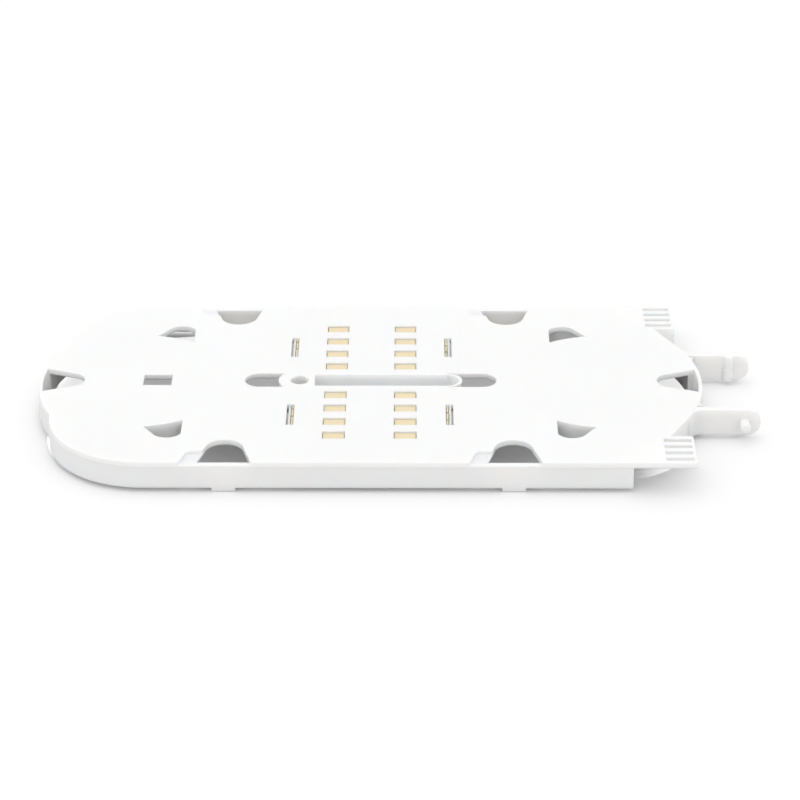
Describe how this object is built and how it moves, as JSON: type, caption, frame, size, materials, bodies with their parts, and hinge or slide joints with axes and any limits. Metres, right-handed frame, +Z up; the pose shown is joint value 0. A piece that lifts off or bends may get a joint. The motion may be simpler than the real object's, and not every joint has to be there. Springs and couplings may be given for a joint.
{
  "type": "fibre splice tray",
  "caption": "Shallow moulded tray that coils spare optical fibre and grips splice sleeves in clip-in holders, with hinge arms and pins at one end.",
  "frame": {"origin": "middle of the overall box, hinge arms included, on the plane of the nubs' feet that the upturned tray stands on", "axes": "+X along the tray towards the hinge pins, +Y across it, +Z up, out of the outer face of the floor"},
  "size_m": [0.179, 0.0864, 0.008],
  "materials": {
    "tray_plastic": "satin",
    "holder_plastic": "satin"
  },
  "bodies": {
    "root": {"tray": "tray_plastic", "splice_holder_front": "holder_plastic", "splice_holder_rear": "holder_plastic"}
  },
  "joints": []
}
